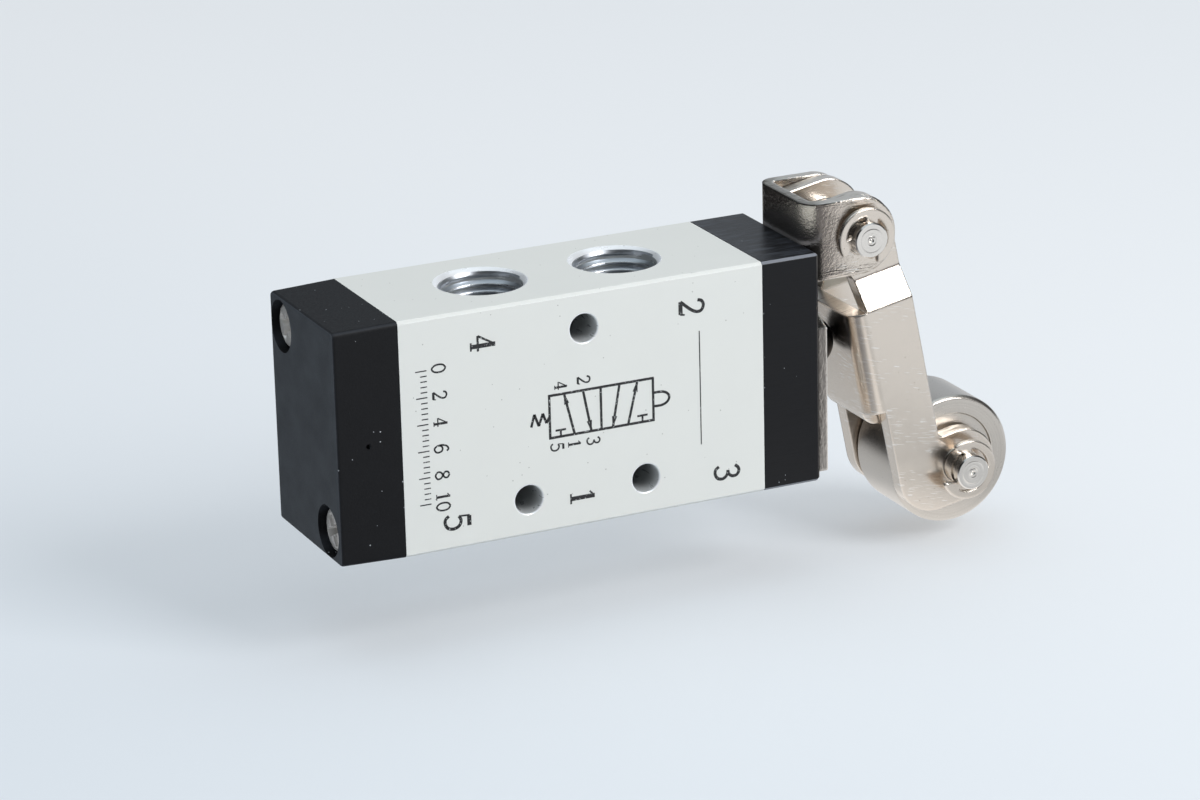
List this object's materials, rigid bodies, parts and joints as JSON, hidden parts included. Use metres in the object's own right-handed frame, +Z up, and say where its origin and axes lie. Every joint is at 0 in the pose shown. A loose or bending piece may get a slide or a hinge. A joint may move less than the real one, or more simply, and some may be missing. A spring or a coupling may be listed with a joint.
{
  "type": "roller lever valve",
  "caption": "Pneumatic spool valve: a pale ported block with dark end pieces, and a bent sheet metal roller lever that pushes a plunger against a return spring.",
  "frame": {"origin": "centre of the body's rear face, which lies on the machine's panel", "axes": "+X along the valve from the spring cap to the lever, +Y out of the rear face into the panel, +Z up through the two upper ports"},
  "size_m": [0.0841, 0.0186, 0.0408],
  "materials": {
    "pale_anodised": "satin, pale warm grey, lightly brushed",
    "black_anodised": "satin black, lightly brushed",
    "black_plastic": "fine matt",
    "nickel_plate": "satin nickel plate with fine scratches",
    "screw_steel": "bright zinc plate",
    "black_steel": "dark oxide",
    "bare_aluminium": "turned",
    "spring_steel": "drawn wire",
    "seal_rubber": "smooth"
  },
  "bodies": {
    "valve_body": {"body": "pale_anodised", "spring_cap": "black_plastic", "cap_screws": "screw_steel", "cap_gasket": "seal_rubber", "return_spring": "spring_steel", "end_block": "black_anodised", "block_gasket": "seal_rubber", "plunger_seal": "seal_rubber", "lever_bracket": "nickel_plate", "bracket_screws": "screw_steel", "pivot_pin": "nickel_plate", "pivot_clips": "nickel_plate"},
    "lever": {"roller_lever": "nickel_plate", "roller_pin": "nickel_plate", "roller_clips": "nickel_plate"},
    "roller_wheel": {"roller": "nickel_plate"},
    "push_rod": {"plunger": "black_steel"},
    "spool_set": {"spool": "bare_aluminium", "spool_seal_1": "seal_rubber", "spool_seal_2": "seal_rubber", "spool_seal_3": "seal_rubber", "spool_seal_4": "seal_rubber", "spool_seal_5": "seal_rubber", "spool_seal_6": "seal_rubber"}
  },
  "joints": [
    {"name": "lever_pivot", "type": "hinge", "parent": "valve_body", "child": "lever", "pos_m": [0.0355, -0.009, 0.01335], "axis": [0, 1, 0], "range_deg": [0, 13], "stiffness_Nm_per_rad": 0.8, "springref_deg": -22.92},
    {"name": "roller_spin", "type": "hinge", "parent": "lever", "child": "roller_wheel", "pos_m": [0.0476, -0.009, -0.01545], "axis": [0, 1, 0], "continuous": true},
    {"name": "plunger_slide", "type": "slide", "parent": "valve_body", "child": "push_rod", "axis": [-1, 0, 0], "range_m": [0, 0.003]},
    {"name": "spool_slide", "type": "slide", "parent": "valve_body", "child": "spool_set", "axis": [-1, 0, 0], "range_m": [0, 0.003], "deforming": ["return_spring"]}
  ],
  "couplings": [
    {"joint": "plunger_slide", "follows": "lever_pivot", "m_per_rad": 0.01298},
    {"joint": "spool_slide", "follows": "lever_pivot", "m_per_rad": 0.01298}
  ]
}
